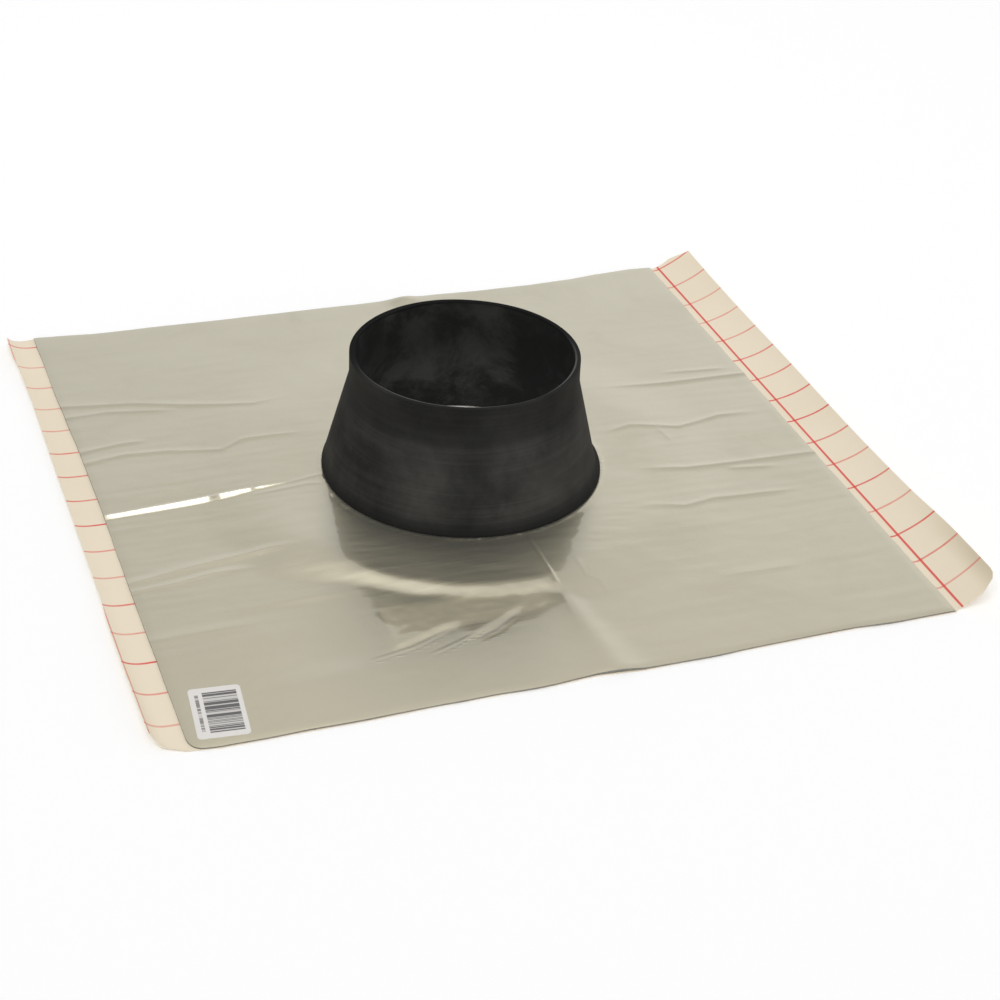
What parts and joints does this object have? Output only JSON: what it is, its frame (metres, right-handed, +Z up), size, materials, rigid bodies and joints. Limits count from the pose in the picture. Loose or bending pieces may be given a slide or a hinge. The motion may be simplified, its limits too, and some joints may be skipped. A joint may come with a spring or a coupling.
{
  "type": "radon pipe collar",
  "caption": "Tapered black rubber pipe collar set in a square aluminium faced butyl sheet on a red ruled release liner; seals a round pipe where it passes through a gas membrane.",
  "frame": {"origin": "on the collar's axis, at the level of the surface that the release liner lies on", "axes": "+X along the front edge of the sheet to the side with the wider liner edge, +Y to the back edge, +Z up along the collar's axis, out of its rim"},
  "size_m": [0.4365, 0.4, 0.0708],
  "materials": {
    "rubber": "matt moulded rubber",
    "foil": "rolled foil on butyl, slightly creased",
    "liner_paper": "silicone coated paper with red ruled lines",
    "label_paper": "matt paper"
  },
  "bodies": {
    "root": {"rubber_collar": "rubber", "butyl_sheet": "foil", "release_liner_left": "liner_paper", "release_liner_right": "liner_paper", "label": "label_paper"}
  },
  "joints": []
}
